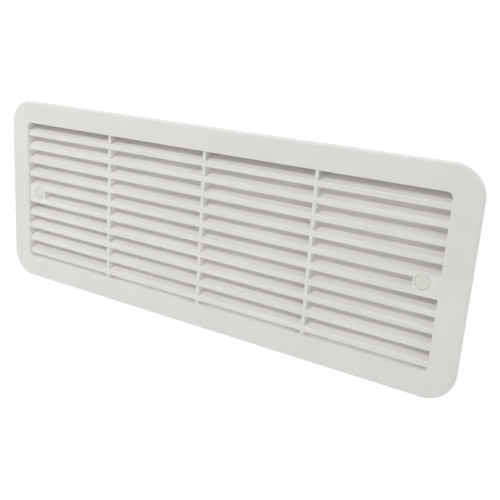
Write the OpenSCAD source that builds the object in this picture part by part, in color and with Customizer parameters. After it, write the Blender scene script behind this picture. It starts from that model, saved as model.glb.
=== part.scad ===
// Side vent cover for a caravan or camper.
// One moulded plastic louvre grille with two round caps that hide its fixing screws.
// Millimetres. +X runs along the cover, +Z is up, and +Y goes into the vehicle's wall.
// The origin is the middle of the cover on the face that seats on the wall.

/* [Frame] */
// Width of the frame over its outer edges
body_w = 440; // [360:5:560]
// Height of the frame over its outer edges
body_h = 168; // [130:2:260]
// Thickness of the frame in front of the wall
flange_t = 3.6; // [3:0.2:6]
// Wall thickness of the frame's front face
flange_skin = 2.4; // [1.6:0.2:2.8]
// Width of the rim that seats on the wall
rim_w = 2.6; // [1.5:0.1:6]
// Radius of the frame's outer corners
corner_r = 23; // [10:0.5:30]
// Rounding of the frame's outer front edge
edge_r = 2.2; // [0.5:0.1:2.8]
// Width of the frame's left and right borders
side_border = 20.8; // [14:0.2:34]
// Width of the frame's upper and lower borders
top_border = 19.8; // [14:0.2:30]

/* [Mouth and spigot] */
// Radius of the louvred mouth's corners
mouth_r = 4; // [1:0.5:8]
// Rounding of the mouth's front edge
mouth_edge_r = 0.8; // [0.3:0.1:1.4]
// Wall thickness of the spigot that enters the wall's cut-out
spigot_wall = 2.2; // [1.4:0.2:4]
// Length of the spigot behind the wall seat
spigot_l = 14; // [13:0.5:30]

/* [Louvres] */
// Distance from one louvre to the next
louvre_pitch = 12.57; // [11:0.01:18]
// Open slit between the lowest louvre and the frame
drain_slit = 3.3; // [2:0.1:6]
// How far the louvres lie behind the frame's front face
louvre_recess = 1.6; // [0.5:0.1:3]
// Depth of a louvre from its front lip to its rear edge
louvre_depth = 14; // [10:0.5:15]
// Slope of a louvre's blade from the horizontal, in degrees
blade_angle = 31; // [20:1:40]
// Wall thickness of a louvre's blade
blade_t = 2; // [1.4:0.1:3]
// Height of a louvre's front lip
lip_h = 4.4; // [3.6:0.1:6]
// Wall thickness of a louvre's front lip
lip_t = 2; // [1.4:0.1:3]
// Rounding between a louvre's lip and its blade
lip_r = 1; // [0.5:0.1:1.3]
// Rounding of the lip's lower drip edge
drip_r = 0.5; // [0.2:0.1:0.6]

/* [Ribs] */
// Number of upright ribs across the mouth
rib_count = 3; // [0:1:6]
// Thickness of a rib
rib_t = 2.7; // [1.6:0.1:5]
// How far the ribs end short of the spigot's rear edge
rib_setback = 1; // [0:0.5:3]

/* [Screw bosses] */
// Width of a screw boss, and its height
boss_size = 14.4; // [13.6:0.2:18]
// Distance from the mouth's side to a screw's axis
screw_inset = 12.2; // [9:0.2:20]
// Bore for the screw's shank
screw_d = 4.6; // [3:0.1:5.6]
// Bore for the screw's head
head_d = 9.4; // [8:0.1:9.8]
// Depth of the screw head's bore behind the cap's recess
head_depth = 5; // [4.6:0.2:6]
// Thickness of the boss's floor under the screw's head
boss_floor = 3; // [2:0.2:4]

/* [Screw caps] */
// Diameter of a cap
cap_d = 11.3; // [10.6:0.1:12.4]
// Thickness of a cap's disc
cap_t = 1.6; // [1:0.1:2]
// Rounding of a cap's front edge
cap_edge_r = 0.4; // [0.2:0.1:0.6]
// Wall thickness of a cap's plug
plug_wall = 1; // [0.8:0.1:1.4]
// Length of a cap's plug behind its disc
plug_l = 2.4; // [1.6:0.2:3]
// Running gap around a cap and its plug
cap_gap = 0.12; // [0.05:0.01:0.3]

/* [Colours] */
// Colour of the moulded grille
grille_colour = [0.93, 0.93, 0.91]; // [0:0.01:1]
// Colour of the caps
cap_colour = [0.83, 0.84, 0.77]; // [0:0.01:1]

/* [Hidden] */
$fn = 72;
eps = 0.01;
quarter = 90;
half_turn = 180;

mouth_w = body_w - 2 * side_border;
mouth_h = body_h - 2 * top_border;
front_y = -flange_t;
louvre_y = front_y + louvre_recess;
web_rear_y = spigot_l - rib_setback;
wall_bite = spigot_wall / 2;

blade_rise = louvre_depth * tan(blade_angle);
blade_t_upright = blade_t / cos(blade_angle);
lowest_z = -mouth_h / 2 + drain_slit;
louvre_count = 1 + floor((mouth_h - drain_slit - lip_h - blade_t) / louvre_pitch);
rib_pitch = mouth_w / (rib_count + 1);

screw_x = mouth_w / 2 - screw_inset;
boss_side = screw_inset + boss_size / 2;
recess_floor_y = louvre_y + cap_t;
head_floor_y = recess_floor_y + head_depth;
boss_floor_y = head_floor_y + boss_floor;
plug_d = head_d - 2 * cap_gap;

// A flat shape in X and Z, pushed out between two Y positions
module from_y_to_y(y0, y1) {
    translate([0, y1, 0])
        rotate([90, 0, 0])
            linear_extrude(y1 - y0)
                children();
}

// A flat shape in Y and Z, pushed out along X about the middle
module across_x(length) {
    rotate([90, 0, 90])
        translate([0, 0, -length / 2])
            linear_extrude(length)
                children();
}

// A rectangle with round corners, about the origin
module round_rect(w, h, r) {
    for (sx = [-1, 1], sz = [-1, 1])
        translate([sx * (w / 2 - r), sz * (h / 2 - r)])
            circle(r);
    square([w, h - 2 * r], center = true);
    square([w - 2 * r, h], center = true);
}

// Half section of the frame, from a corner's centre out to its rounded front edge
module edge_section() {
    square([corner_r, flange_t - edge_r]);
    square([corner_r - edge_r, flange_t]);
    translate([corner_r - edge_r, flange_t - edge_r])
        circle(edge_r);
}

// The frame as a solid plate with a rounded front edge, back face on the wall seat
module flange_plate() {
    span_x = body_w - 2 * corner_r;
    span_z = body_h - 2 * corner_r;
    rotate([90, 0, 0]) {
        translate([-span_x / 2, -span_z / 2, 0])
            cube([span_x, span_z, flange_t]);
        for (turn = [0, half_turn])
            rotate([0, 0, turn]) {
                translate([0, span_z / 2, 0])
                    across_x(span_x)
                        edge_section();
                translate([span_x / 2, 0, 0])
                    rotate([0, 0, -quarter])
                        across_x(span_z)
                            edge_section();
                translate([span_x / 2, span_z / 2, 0])
                    rotate_extrude(angle = quarter)
                        edge_section();
                translate([-span_x / 2, span_z / 2, 0])
                    rotate([0, 0, quarter])
                        rotate_extrude(angle = quarter)
                            edge_section();
            }
    }
}

// What the rounding takes off the mouth's front edge, measured out from the mouth's wall
module mouth_edge_section() {
    difference() {
        translate([-mouth_edge_r, -mouth_edge_r])
            square(2 * mouth_edge_r);
        translate([mouth_edge_r, -mouth_edge_r])
            circle(mouth_edge_r);
        translate([0, -2 * mouth_edge_r])
            square([2 * mouth_edge_r, mouth_edge_r]);
        translate([mouth_edge_r, -mouth_edge_r])
            square([mouth_edge_r, mouth_edge_r]);
    }
}

module mouth_edge_cut() {
    span_x = mouth_w - 2 * mouth_r;
    span_z = mouth_h - 2 * mouth_r;
    rotate([90, 0, 0])
        translate([0, 0, flange_t])
            for (turn = [0, half_turn])
                rotate([0, 0, turn]) {
                    translate([0, mouth_h / 2, 0])
                        across_x(span_x)
                            mouth_edge_section();
                    translate([mouth_w / 2, 0, 0])
                        rotate([0, 0, -quarter])
                            across_x(span_z)
                                mouth_edge_section();
                    for (side = [0, 1])
                        translate([(1 - 2 * side) * span_x / 2, span_z / 2, 0])
                            rotate([0, 0, side * quarter])
                                rotate_extrude(angle = quarter)
                                    translate([mouth_r, 0])
                                        mouth_edge_section();
                }
}

// Channel in the frame's back, between the seating rim and the spigot
module seal_channel() {
    from_y_to_y(flange_skin - flange_t, eps)
        difference() {
            round_rect(body_w - 2 * rim_w, body_h - 2 * rim_w, corner_r - rim_w);
            round_rect(mouth_w + 2 * spigot_wall, mouth_h + 2 * spigot_wall, mouth_r + spigot_wall);
        }
}

module spigot() {
    from_y_to_y(flange_skin - flange_t - wall_bite / 2, spigot_l)
        round_rect(mouth_w + 2 * spigot_wall, mouth_h + 2 * spigot_wall, mouth_r + spigot_wall);
}

module frame() {
    difference() {
        union() {
            difference() {
                flange_plate();
                seal_channel();
            }
            spigot();
        }
        from_y_to_y(front_y - 1, spigot_l + 1)
            round_rect(mouth_w, mouth_h, mouth_r);
        mouth_edge_cut();
    }
}

// Section of one louvre: an upright front lip with a drip edge, and a blade that rises to the rear
module louvre_section() {
    bend_z = lip_h + lip_r * tan(blade_angle) - lip_r / cos(blade_angle);
    bend_top = [lip_r - lip_r * sin(blade_angle), bend_z + lip_r * cos(blade_angle)];
    under_z = lip_h + lip_t * tan(blade_angle) - blade_t_upright;
    rear_z = lip_h + blade_rise;
    polygon([
        [0, drip_r],
        [0, bend_z],
        [lip_r, bend_z],
        bend_top,
        [louvre_depth, rear_z],
        [louvre_depth, rear_z - blade_t_upright],
        [lip_t, under_z],
        [lip_t, drip_r],
        [lip_t - drip_r, drip_r],
        [lip_t - drip_r, 0],
        [drip_r, 0],
        [drip_r, drip_r],
    ]);
    translate([lip_r, bend_z])
        circle(lip_r);
    translate([drip_r, drip_r])
        circle(drip_r);
    translate([lip_t - drip_r, drip_r])
        circle(drip_r);
}

// All louvres, let into the spigot's walls at their ends
module louvres() {
    intersection() {
        for (i = [0:louvre_count - 1])
            translate([0, louvre_y, lowest_z + i * louvre_pitch])
                across_x(mouth_w + 2 * wall_bite)
                    louvre_section();
        from_y_to_y(louvre_y - 1, spigot_l)
            square([mouth_w + 4 * wall_bite, mouth_h + 2 * wall_bite], center = true);
    }
}

module ribs() {
    for (i = [1:1:rib_count])
        translate([i * rib_pitch - mouth_w / 2, 0, 0])
            from_y_to_y(louvre_y, web_rear_y)
                square([rib_t, mouth_h + 2 * wall_bite], center = true);
}

// Block that carries one screw, grown from the mouth's side wall
module boss() {
    translate([screw_x - boss_size / 2, 0, 0])
        from_y_to_y(louvre_y, web_rear_y)
            translate([0, -boss_size / 2])
                square([boss_side + wall_bite, boss_size]);
}

// Cap recess, head bore and shank bore from the front, and a weight-saving pocket from the rear
module boss_cut() {
    pocket = boss_size - 2 * spigot_wall;
    translate([screw_x, 0, 0]) {
        from_y_to_y(louvre_y - 1, recess_floor_y)
            circle(cap_d / 2 + cap_gap);
        from_y_to_y(louvre_y, head_floor_y)
            circle(head_d / 2);
        from_y_to_y(louvre_y, boss_floor_y + eps)
            circle(screw_d / 2);
        from_y_to_y(boss_floor_y, spigot_l)
            square(pocket, center = true);
    }
}

module grille() {
    color(grille_colour)
        difference() {
            union() {
                frame();
                louvres();
                ribs();
                for (side = [0, 1])
                    mirror([side, 0, 0])
                        boss();
            }
            for (side = [0, 1])
                mirror([side, 0, 0])
                    boss_cut();
        }
}

// Half section of a cap, from its axis out: a disc with a plug behind it
module cap_section() {
    cap_r = cap_d / 2;
    square([cap_r, cap_t - cap_edge_r]);
    square([cap_r - cap_edge_r, cap_t]);
    translate([cap_r - cap_edge_r, cap_t - cap_edge_r])
        circle(cap_edge_r);
    translate([plug_d / 2 - plug_wall, -plug_l])
        square([plug_wall, plug_l]);
}

// A cap seated in the recess of the boss on one side
module screw_cap(side) {
    color(cap_colour)
        translate([side * screw_x, recess_floor_y, 0])
            rotate([90, 0, 0])
                rotate_extrude()
                    cap_section();
}

module screw_cap_left() {
    screw_cap(-1);
}

module screw_cap_right() {
    screw_cap(1);
}

grille();
screw_cap_left();
screw_cap_right();
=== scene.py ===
import math

import bpy
from mathutils import Matrix, Vector

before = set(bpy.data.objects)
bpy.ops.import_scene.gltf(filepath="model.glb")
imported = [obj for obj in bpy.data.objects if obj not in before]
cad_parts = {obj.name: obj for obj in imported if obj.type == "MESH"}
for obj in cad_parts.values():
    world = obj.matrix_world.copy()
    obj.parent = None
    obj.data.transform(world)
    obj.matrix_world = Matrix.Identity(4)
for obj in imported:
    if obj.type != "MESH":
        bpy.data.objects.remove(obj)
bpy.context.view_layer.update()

# Metres, in the part's own frame: +X along the cover, +Z up, +Y into the wall.
# The photograph is a square. Its camera was fitted to the cover's own edges.
CAMERA_PLACE = Vector((0.3207, -0.4603, 0.1475))
CAMERA_AZIMUTH = math.radians(30.73)
CAMERA_ELEVATION = math.radians(16.14)
CAMERA_ROLL = math.radians(4.12)
SENSOR_MM = 36.0
LENS_MM = 51.04

# Colours are linear. The plastic is a warm white, and the caps are a little creamier.
PLASTIC = (0.834, 0.818, 0.787)
CAP_PLASTIC = (0.79, 0.785, 0.7)
FLOOR_COLOUR = (0.9, 0.9, 0.9)
GRILLE_ROUGHNESS = 0.42
CAP_ROUGHNESS = 0.5
ROUGHNESS_SPREAD = 0.05
PLASTIC_IOR = 1.5

# Noise scales per metre, and how far each noise moves the colour either side of 1.
CLOUD_SCALE = 26.0
CLOUD_SHADE = (0.975, 1.015)
SPECK_SCALE = 900.0
SPECK_SHADE = (0.993, 1.005)
GLOSS_SCALE = 60.0
GRAIN_SCALE = 2600.0
GRAIN_STRENGTH = 0.12
GRAIN_DEPTH = 0.0001
FLOOR_SCALE = 3.0
FLOOR_SHADE = (0.985, 1.0)

# Flow lines that run along the louvres: scales per axis, tint, and height against the grain.
STREAK_STRETCH = (9.0, 480.0, 480.0)
STREAK_TINT = (-0.04, 0.08)
STREAK_HEIGHT = 1.2

# Lamps: where each stands, its width and its power.
KEY_PLACE = Vector((-0.7, -1.06, 1.09))
KEY_SIZE = 0.2
KEY_WATTS = 9.1
HIGH_PLACE = Vector((0.1, 0.4, 2.2))
HIGH_SIZE = 1.0
HIGH_WATTS = 7.0

# The sky is stronger towards this side: the cover's right, and behind it.
SKY_STRENGTH = 0.64
SKY_LEAN = Vector((0.66, 0.33, -0.04))

# The floor glows towards white with distance and shows a share of its own shading.
FLOOR_Z = -0.3
FLOOR_RADIUS = 9.0
FLOOR_NEAR = 0.5
FLOOR_FAR = 1.6
FLOOR_NEAR_GLOW = 0.82
FLOOR_SHADOW_SHARE = 0.3

# Where the louvres start: half the mouth's width and height, and their front face.
MOUTH_HALF_WIDTH = 0.1992
MOUTH_HALF_HEIGHT = 0.0642
LOUVRE_FRONT = -0.0021


def add_node(tree, kind, inputs=None, **settings):
    """A node of a material or world, with its settings and unlinked inputs."""
    node = tree.nodes.new(kind)
    for name, value in settings.items():
        setattr(node, name, value)
    for name, value in (inputs or {}).items():
        node.inputs[name].default_value = value
    return node


def join(tree, source, target, output=0, socket=0):
    tree.links.new(source.outputs[output], target.inputs[socket])


def noise(tree, place, scale, detail=3.0, stretch=(1, 1, 1)):
    """Noise in the part's own metres, stretched per axis."""
    mapping = add_node(tree, "ShaderNodeMapping", {"Scale": stretch})
    texture = add_node(tree, "ShaderNodeTexNoise", {"Scale": scale, "Detail": detail})
    join(tree, place, mapping, "Object", "Vector")
    join(tree, mapping, texture, "Vector", "Vector")
    return texture


def spread(tree, source, low, high, start=0.3, end=0.7, output="Fac"):
    """A noise's values laid out between low and high."""
    mapped = add_node(
        tree,
        "ShaderNodeMapRange",
        {"From Min": start, "From Max": end, "To Min": low, "To Max": high},
    )
    join(tree, source, mapped, output, "Value")
    return mapped


def combine(tree, operation, a, b):
    """A Math node over two sources, each a node or a number."""
    node = add_node(tree, "ShaderNodeMath", operation=operation)
    for index, source in enumerate((a, b)):
        if isinstance(source, (int, float)):
            node.inputs[index].default_value = source
        else:
            join(tree, source, node, 0, index)
    return node


def inside(tree, axis, half_width):
    """1 where the distance from the middle along an axis is under half_width."""
    size = add_node(tree, "ShaderNodeMath", operation="ABSOLUTE")
    join(tree, axis[0], size, axis[1], 0)
    return combine(tree, "LESS_THAN", size, half_width)


def mouth_mask(tree, place):
    """1 on the louvres, and 0 on the frame round them."""
    axes = add_node(tree, "ShaderNodeSeparateXYZ")
    join(tree, place, axes, "Object", 0)
    across = inside(tree, (axes, "X"), MOUTH_HALF_WIDTH)
    upright = inside(tree, (axes, "Z"), MOUTH_HALF_HEIGHT)
    deep = add_node(tree, "ShaderNodeMath", operation="GREATER_THAN")
    join(tree, axes, deep, "Y", 0)
    deep.inputs[1].default_value = LOUVRE_FRONT
    return combine(tree, "MULTIPLY", combine(tree, "MULTIPLY", across, upright), deep)


def moulded_plastic(name, colour, streaked, roughness):
    """Satin moulded plastic: cloudy tint, fine grain, and flow lines along the louvres."""
    material = bpy.data.materials.new(name)
    material.use_nodes = True
    tree = material.node_tree
    tree.nodes.clear()
    place = add_node(tree, "ShaderNodeTexCoord")

    clouds = spread(tree, noise(tree, place, CLOUD_SCALE), *CLOUD_SHADE)
    specks = spread(tree, noise(tree, place, SPECK_SCALE, 2.0), *SPECK_SHADE)
    shade = combine(tree, "MULTIPLY", clouds, specks)
    grain = noise(tree, place, GRAIN_SCALE, 2.0)
    height = spread(tree, grain, 0.0, 1.0)
    if streaked:
        lines = noise(tree, place, 1.0, 4.0, STREAK_STRETCH)
        mask = mouth_mask(tree, place)
        tinted = combine(tree, "MULTIPLY", spread(tree, lines, *STREAK_TINT), mask)
        shade = combine(tree, "MULTIPLY", shade, combine(tree, "ADD", tinted, 1.0))
        raised = combine(tree, "MULTIPLY", spread(tree, lines, 0.0, STREAK_HEIGHT), mask)
        height = combine(tree, "ADD", height, raised)

    tint = add_node(tree, "ShaderNodeVectorMath", operation="SCALE")
    tint.inputs[0].default_value = colour
    join(tree, shade, tint, 0, "Scale")
    relief = {"Strength": GRAIN_STRENGTH, "Distance": GRAIN_DEPTH}
    bump = add_node(tree, "ShaderNodeBump", relief)
    join(tree, height, bump, 0, "Height")
    limits = (roughness - ROUGHNESS_SPREAD, roughness + ROUGHNESS_SPREAD)
    gloss = spread(tree, noise(tree, place, GLOSS_SCALE), *limits)

    shader = add_node(tree, "ShaderNodeBsdfPrincipled", {"IOR": PLASTIC_IOR})
    join(tree, tint, shader, 0, "Base Color")
    join(tree, gloss, shader, 0, "Roughness")
    join(tree, bump, shader, 0, "Normal")
    output = add_node(tree, "ShaderNodeOutputMaterial")
    join(tree, shader, output)
    return material


def seen_directly(tree):
    """1 for what the camera, a reflection or a transmission sees."""
    path = add_node(tree, "ShaderNodeLightPath")
    seen = combine(tree, "MAXIMUM", path, 0.0)
    for ray in ("Is Glossy Ray", "Is Transmission Ray"):
        wider = add_node(tree, "ShaderNodeMath", operation="MAXIMUM")
        join(tree, seen, wider, 0, 0)
        join(tree, path, wider, ray, 1)
        seen = wider
    return seen


def floor_material():
    """Pale floor that looks white from the camera and still keeps the object's shadow."""
    material = bpy.data.materials.new("pale_floor")
    material.use_nodes = True
    tree = material.node_tree
    tree.nodes.clear()
    place = add_node(tree, "ShaderNodeTexCoord")
    shade = spread(tree, noise(tree, place, FLOOR_SCALE), *FLOOR_SHADE)
    tint = add_node(tree, "ShaderNodeVectorMath", operation="SCALE")
    tint.inputs[0].default_value = FLOOR_COLOUR
    join(tree, shade, tint, 0, "Scale")
    diffuse = add_node(tree, "ShaderNodeBsdfDiffuse")
    join(tree, tint, diffuse, 0, "Color")

    away = add_node(tree, "ShaderNodeVectorMath", operation="LENGTH")
    join(tree, place, away, "Object", 0)
    strength = spread(tree, away, FLOOR_NEAR_GLOW, 1.0, FLOOR_NEAR, FLOOR_FAR, "Value")
    glow = add_node(tree, "ShaderNodeEmission", {"Color": (1, 1, 1, 1)})
    join(tree, strength, glow, 0, "Strength")
    faint = add_node(tree, "ShaderNodeMixShader", {"Fac": FLOOR_SHADOW_SHARE})
    join(tree, diffuse, faint, 0, 2)
    shown = add_node(tree, "ShaderNodeAddShader")
    join(tree, glow, shown, 0, 0)
    join(tree, faint, shown, 0, 1)
    mixed = add_node(tree, "ShaderNodeMixShader")
    join(tree, seen_directly(tree), mixed, 0, "Fac")
    join(tree, diffuse, mixed, 0, 1)
    join(tree, shown, mixed, 0, 2)
    output = add_node(tree, "ShaderNodeOutputMaterial")
    join(tree, mixed, output)
    return material


def build_floor():
    bpy.ops.mesh.primitive_circle_add(
        vertices=96, radius=FLOOR_RADIUS, fill_type="NGON", location=(0, 0, FLOOR_Z)
    )
    floor = bpy.context.object
    floor.name = "floor"
    floor.data.materials.append(floor_material())


def build_sky():
    """Soft white light, a little stronger on one side. The camera sees plain white."""
    world = bpy.data.worlds.new("studio")
    bpy.context.scene.world = world
    world.use_nodes = True
    tree = world.node_tree
    tree.nodes.clear()
    place = add_node(tree, "ShaderNodeTexCoord")
    lean = add_node(tree, "ShaderNodeVectorMath", operation="DOT_PRODUCT")
    lean.inputs[1].default_value = SKY_LEAN
    join(tree, place, lean, "Generated", 0)
    side = add_node(tree, "ShaderNodeMath", operation="ADD")
    join(tree, lean, side, "Value", 0)
    side.inputs[1].default_value = 1.0
    strength = combine(tree, "MULTIPLY", side, SKY_STRENGTH)
    lit = add_node(tree, "ShaderNodeBackground")
    join(tree, strength, lit, 0, "Strength")
    seen = add_node(tree, "ShaderNodeBackground", {"Strength": 1.0})
    for background in (lit, seen):
        background.inputs["Color"].default_value = (1, 1, 1, 1)
    mixed = add_node(tree, "ShaderNodeMixShader")
    join(tree, seen_directly(tree), mixed, 0, "Fac")
    join(tree, lit, mixed, 0, 1)
    join(tree, seen, mixed, 0, 2)
    output = add_node(tree, "ShaderNodeOutputWorld")
    join(tree, mixed, output)


def build_lamp(name, place, size, watts):
    """Round soft lamp that faces the middle of the cover."""
    data = bpy.data.lights.new(name, "AREA")
    data.shape = "DISK"
    data.size = size
    data.energy = watts
    lamp = bpy.data.objects.new(name, data)
    lamp.location = place
    lamp.rotation_euler = place.to_track_quat("Z", "Y").to_euler()
    bpy.context.collection.objects.link(lamp)


def build_camera():
    """The photograph's viewpoint, from its azimuth, elevation and roll."""
    data = bpy.data.cameras.new("camera")
    data.sensor_width = SENSOR_MM
    data.lens = LENS_MM
    camera = bpy.data.objects.new("camera", data)
    ahead = Vector((
        -math.sin(CAMERA_AZIMUTH) * math.cos(CAMERA_ELEVATION),
        math.cos(CAMERA_AZIMUTH) * math.cos(CAMERA_ELEVATION),
        -math.sin(CAMERA_ELEVATION),
    ))
    level = Vector((math.cos(CAMERA_AZIMUTH), math.sin(CAMERA_AZIMUTH), 0))
    right = Matrix.Rotation(-CAMERA_ROLL, 3, ahead) @ level
    up = right.cross(ahead)
    turned = Matrix((right, up, -ahead)).transposed()
    camera.matrix_world = Matrix.Translation(CAMERA_PLACE) @ turned.to_4x4()
    bpy.context.collection.objects.link(camera)
    bpy.context.scene.camera = camera


def dress(name, material):
    """Gives a carried-over solid its finish."""
    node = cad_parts[name]
    node.data.materials.clear()
    node.data.materials.append(material)


dress("grille", moulded_plastic("grille_plastic", PLASTIC, True, GRILLE_ROUGHNESS))
cap_finish = moulded_plastic("cap_plastic", CAP_PLASTIC, False, CAP_ROUGHNESS)
dress("screw_cap_left", cap_finish)
dress("screw_cap_right", cap_finish)

build_floor()
build_sky()
build_lamp("key", KEY_PLACE, KEY_SIZE, KEY_WATTS)
build_lamp("high", HIGH_PLACE, HIGH_SIZE, HIGH_WATTS)
build_camera()
bpy.context.scene.view_settings.view_transform = "Standard"
